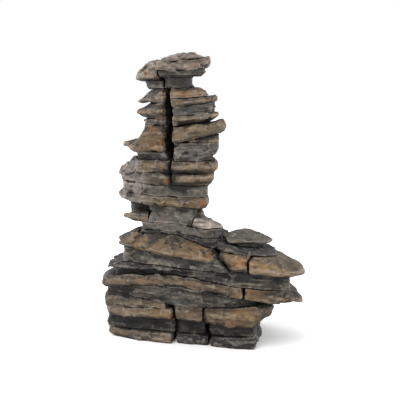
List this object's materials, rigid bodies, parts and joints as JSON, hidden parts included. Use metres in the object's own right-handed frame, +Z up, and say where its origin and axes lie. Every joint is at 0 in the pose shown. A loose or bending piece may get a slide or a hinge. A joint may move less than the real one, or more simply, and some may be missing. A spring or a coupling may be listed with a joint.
{
  "type": "resin cave ornament",
  "caption": "Painted resin rock ornament for a tank: stacked slates form an overhanging ledge block and a cleft tower with swim-throughs.",
  "frame": {"origin": "middle of the whole object's footprint box, on the surface it stands on", "axes": "+Z up; -Y is the broad front face; +X towards the overhanging arm"},
  "size_m": [0.163, 0.08, 0.2126],
  "materials": {
    "resin_grey": "matt painted resin, dark wash",
    "resin_ochre": "matt painted resin, ochre over dark grey",
    "resin_drybrushed": "matt painted resin, pale dry-brushed"
  },
  "bodies": {
    "root": {"foot_left": "resin_ochre", "foot_middle": "resin_grey", "foot_right": "resin_grey", "band_left": "resin_grey", "band_middle": "resin_grey", "band_right": "resin_grey", "ledge_left": "resin_ochre", "upper_ledge_left": "resin_ochre", "ledge_middle": "resin_ochre", "ledge_right": "resin_ochre", "grey_course": "resin_grey", "arm_under": "resin_ochre", "arm_under_tip": "resin_ochre", "shadow_course": "resin_grey", "brow_slab": "resin_grey", "undercliff": "resin_grey", "arm_recess": "resin_grey", "cliff_slab_left": "resin_ochre", "cliff_slab_middle": "resin_ochre", "cliff_slab_tip": "resin_ochre", "saddle_slab": "resin_grey", "shelf_slab": "resin_grey", "arm_rock_neck": "resin_grey", "arm_rock": "resin_drybrushed", "flange_slab": "resin_grey", "flange_splinter": "resin_drybrushed", "stub_slab": "resin_drybrushed", "stub_cap": "resin_drybrushed", "neck_front": "resin_grey", "neck_rear": "resin_grey", "girdle_slab": "resin_ochre", "nub_slab": "resin_drybrushed", "boulder_lower": "resin_drybrushed", "boulder_upper": "resin_drybrushed", "grey_belt": "resin_grey", "waist_left": "resin_ochre", "waist_right": "resin_ochre", "shoulder_left": "resin_ochre", "shoulder_right": "resin_ochre", "thin_slab": "resin_grey", "ochre_chip": "resin_ochre", "ochre_stone": "resin_ochre", "notch_stone": "resin_grey", "left_slab_lower": "resin_ochre", "left_slab_upper": "resin_ochre", "left_neck": "resin_grey", "left_cap": "resin_ochre", "block_right": "resin_grey", "wedge_slab": "resin_grey", "right_slab_3": "resin_ochre", "right_slab_4": "resin_ochre", "grey_block": "resin_grey", "right_slab_5": "resin_ochre", "right_slab_6": "resin_ochre", "right_neck": "resin_grey", "cap_under": "resin_ochre", "cap_front": "resin_ochre", "cap_top": "resin_drybrushed"}
  },
  "joints": []
}
